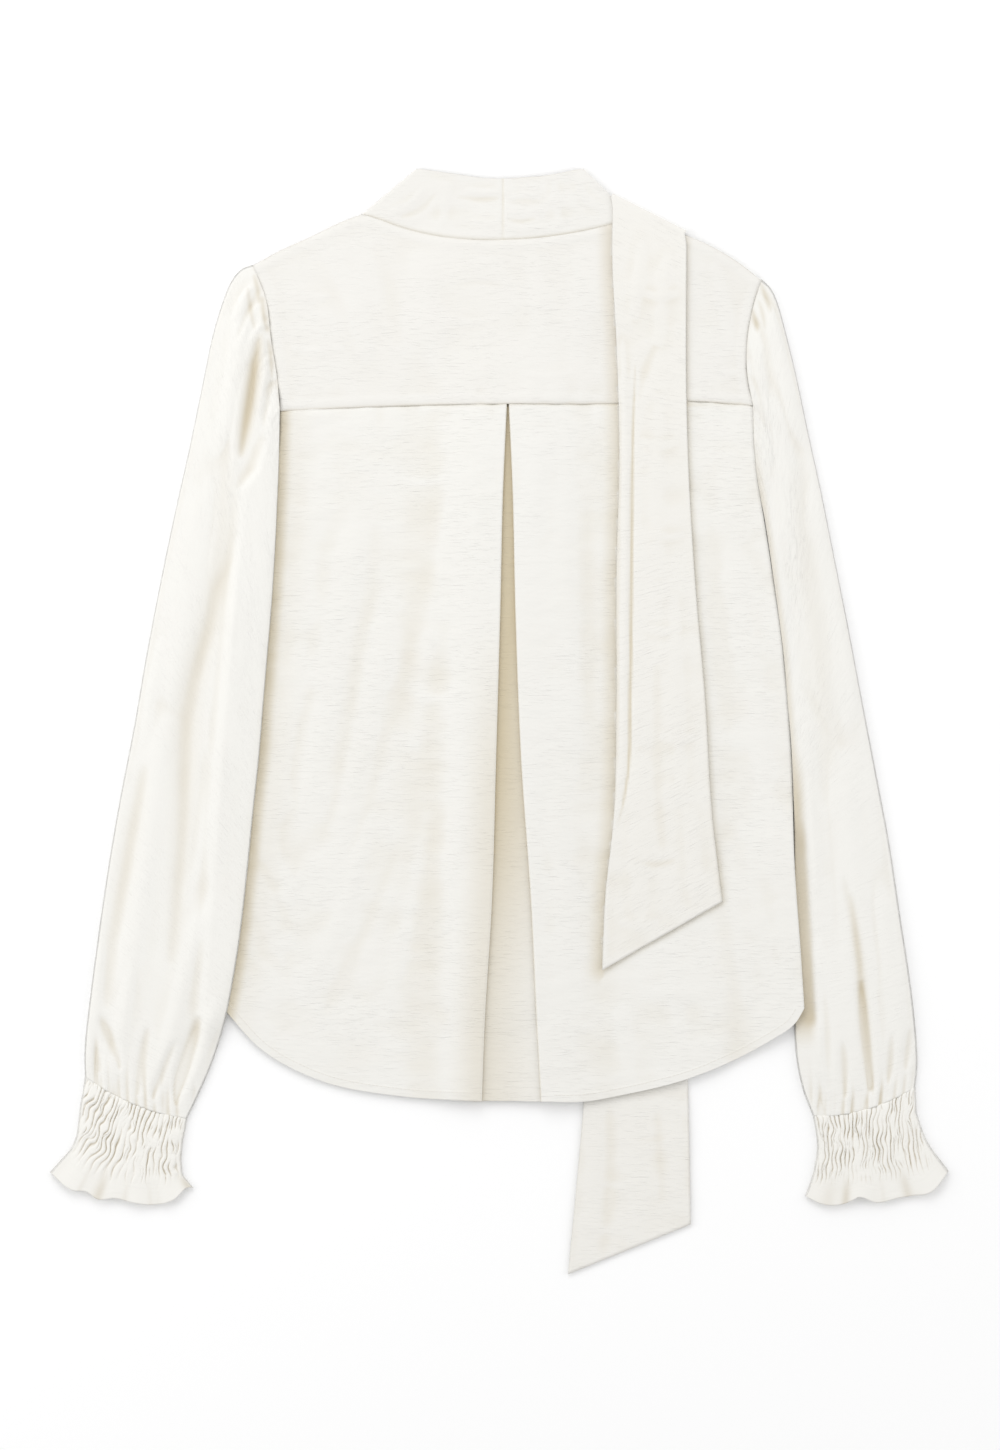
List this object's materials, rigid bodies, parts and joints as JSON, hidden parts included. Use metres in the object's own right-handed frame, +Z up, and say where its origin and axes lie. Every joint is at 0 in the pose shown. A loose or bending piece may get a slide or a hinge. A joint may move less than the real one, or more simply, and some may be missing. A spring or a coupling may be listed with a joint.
{
  "type": "tie-neck button-down shirt laid flat",
  "caption": "Ivory tie-neck blouse laid face down: back yoke, inverted back pleat, tall collar with two tie ends, full sleeves with smocked, frilled cuffs.",
  "frame": {"origin": "centre of the laid garment's outline, on the surface that it lies on", "axes": "+X towards the wearer's right side, +Y towards the collar, +Z up out of the back of the garment"},
  "size_m": [0.629, 0.774, 0.0103],
  "materials": {
    "ivory_cloth": "light slub satin crepe, soft sheen",
    "tie_cloth": "light slub satin crepe, soft sheen, crinkled",
    "smocked_cloth": "smocked satin crepe",
    "button": "satin pearl"
  },
  "bodies": {
    "root": {"back_yoke": "ivory_cloth", "back_panel": "ivory_cloth", "front_left": "ivory_cloth", "front_right": "ivory_cloth", "collar": "ivory_cloth", "tie_over_shoulder": "tie_cloth", "tie_hanging": "tie_cloth", "sleeve_left": "ivory_cloth", "sleeve_right": "ivory_cloth", "cuff_left": "smocked_cloth", "cuff_right": "smocked_cloth", "button_1": "button", "button_2": "button", "button_3": "button", "button_4": "button", "button_5": "button", "button_6": "button"}
  },
  "joints": []
}
